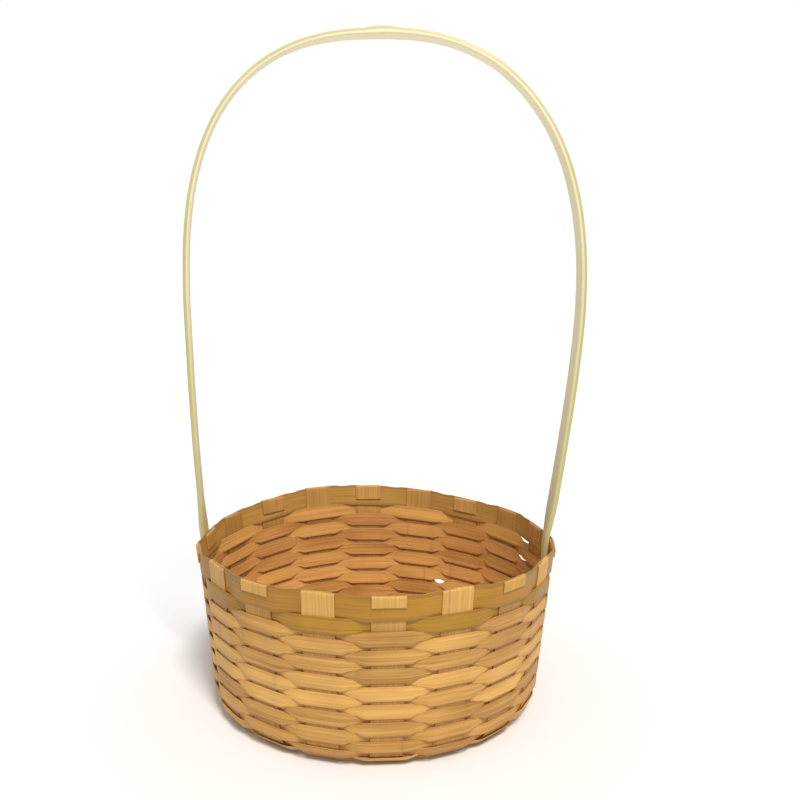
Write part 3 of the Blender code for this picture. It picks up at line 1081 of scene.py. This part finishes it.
def lower_band_finish():
    """Olive skin outside, and pale pith inside."""
    return splint_finish(
        "lower_band_splint",
        skin=(colour(0.26, 0.115, 0.006), colour(0.58, 0.30, 0.023)),
        pith=(colour(0.48, 0.215, 0.048), colour(1.0, 0.57, 0.170)),
        edge=Mark(colour(0.20, 0.09, 0.012), 0.4),
        joint=Mark(colour(0.14, 0.06, 0.015), 0.6),
        bleach_and_light=None,
        contrast=0.3,
        roughness=0.45,
        shine=0.4,
    )


def rim_band_finish():
    """Olive skin outside, and darker pith inside than the lower band's."""
    return splint_finish(
        "rim_band_splint",
        skin=(colour(0.255, 0.108, 0.007), colour(0.57, 0.275, 0.027)),
        pith=(colour(0.34, 0.155, 0.028), colour(0.64, 0.37, 0.085)),
        edge=Mark(colour(0.20, 0.09, 0.012), 0.4),
        joint=Mark(colour(0.14, 0.06, 0.015), 0.6),
        bleach_and_light=None,
        contrast=0.3,
        roughness=0.45,
        shine=0.4,
    )


def handle_finish():
    """Smooth cream cane with darker edges, darker towards the rim and paler towards its top. The paling
    is partly bleaching and partly painted light, most of all on the inner face, where it stands for
    light on the underside of the bow.
    """
    return splint_finish(
        "handle_cane",
        skin=(colour(0.70, 0.61, 0.25), colour(0.90, 0.84, 0.49)),
        pith=(colour(0.58, 0.43, 0.21), colour(0.76, 0.62, 0.36)),
        edge=Mark(colour(0.45, 0.415, 0.145), 0.74),
        joint=Mark(colour(0.50, 0.36, 0.14), 0.4),
        # Painted light: the inner face pales fully at the top, for light on the underside of the bow.
        bleach_and_light=BleachAndLight(
            dull=colour(0.94, 0.86, 0.52),
            bright=colour(1.0, 0.95, 0.66),
            low=0.105,
            high=0.37,
            seen_out=0.35,
            seen_in=1.0,
        ),
        contrast=0.0,
        roughness=0.38,
        shine=0.45,
    )


# Stage, camera and light


def make_floor():
    """A pale floor that runs out of sight and keeps the basket's shadow."""
    mesh = bpy.data.meshes.new("floor")
    corners = [(-FLOOR_REACH, -FLOOR_REACH), (FLOOR_REACH, -FLOOR_REACH)]
    corners += [(-x, -y) for x, y in corners]
    mesh.from_pydata([(x, y, 0) for x, y in corners], [], [(0, 1, 2, 3)])
    floor = placed("floor", mesh)
    floor.location.z = -FLOOR_DROP
    material, graph, shader = new_finish("pale_floor", Roughness=FLOOR_ROUGHNESS, Specular_IOR_Level=0)
    seen = graph.node("ShaderNodeLightPath", output="Is Camera Ray")
    graph.feed(shader, "Base Color", mixed(graph, seen, FLOOR_BOUNCE, FLOOR_COLOUR))
    mesh.materials.append(material)


def make_world():
    """Even white light, and plain white behind the object."""
    world = bpy.data.worlds.new("studio")
    world.use_nodes = True
    bpy.context.scene.world = world
    graph = Graph(world.node_tree)
    seen = graph.node("ShaderNodeLightPath", output="Is Camera Ray")
    for ray in ("Is Glossy Ray", "Is Transmission Ray"):
        seen = seen.maths("MAXIMUM", seen, graph.node("ShaderNodeLightPath", output=ray))
    background = world.node_tree.nodes["Background"]
    background.inputs["Color"].default_value = colour(1, 1, 1)
    graph.feed(background, "Strength", AMBIENT + seen * (1 - AMBIENT))


def make_sun():
    """Soft light from the right, in front and above, as in the photograph."""
    data = bpy.data.lights.new("key", "SUN")
    data.energy = SUN_STRENGTH
    data.angle = SUN_SOFTNESS
    data.color = SUN_COLOUR
    level = Vector((math.sin(SUN_BEARING), -math.cos(SUN_BEARING), 0)) * math.cos(SUN_RISE)
    made = placed("key", data)
    made.rotation_euler = (level + UP * math.sin(SUN_RISE)).to_track_quat("Z", "Y").to_euler()


def make_camera():
    """The photograph's view, from in front and a little above."""
    data = bpy.data.cameras.new("camera")
    data.sensor_width = SENSOR
    data.lens = FOCAL_PIXELS / PICTURE_PIXELS * SENSOR
    made = placed("camera", data)
    place = Matrix.Translation((0, -CAMERA_DISTANCE, CAMERA_HEIGHT))
    yaw = Matrix.Rotation(-CAMERA_YAW, 4, "Z")
    drop = Matrix.Rotation(math.pi / 2 - CAMERA_DROP, 4, "X")
    roll = Matrix.Rotation(CAMERA_ROLL, 4, "Z")
    made.matrix_world = Matrix.Rotation(CAMERA_TURN, 4, "Z") @ place @ yaw @ drop @ roll
    bpy.context.scene.camera = made


def main():
    bpy.context.scene.view_settings.view_transform = "Standard"
    make_camera()
    make_floor()
    make_world()
    make_sun()
    tree = sweep_tree()
    draw = Random(SEED)
    dress_strips(tree, stake_finish(), draw)
    dress_rows(tree, weaver_finish(), draw)
    dress_band("lower_band", LOWER_BAND_TOP, LOWER_BAND_FOOT, False, tree, lower_band_finish(), draw)
    dress_band("rim_band", WALL_TOP, RIM_BAND_FOOT, True, tree, rim_band_finish(), draw)
    dress_handle(tree, handle_finish(), draw)


main()
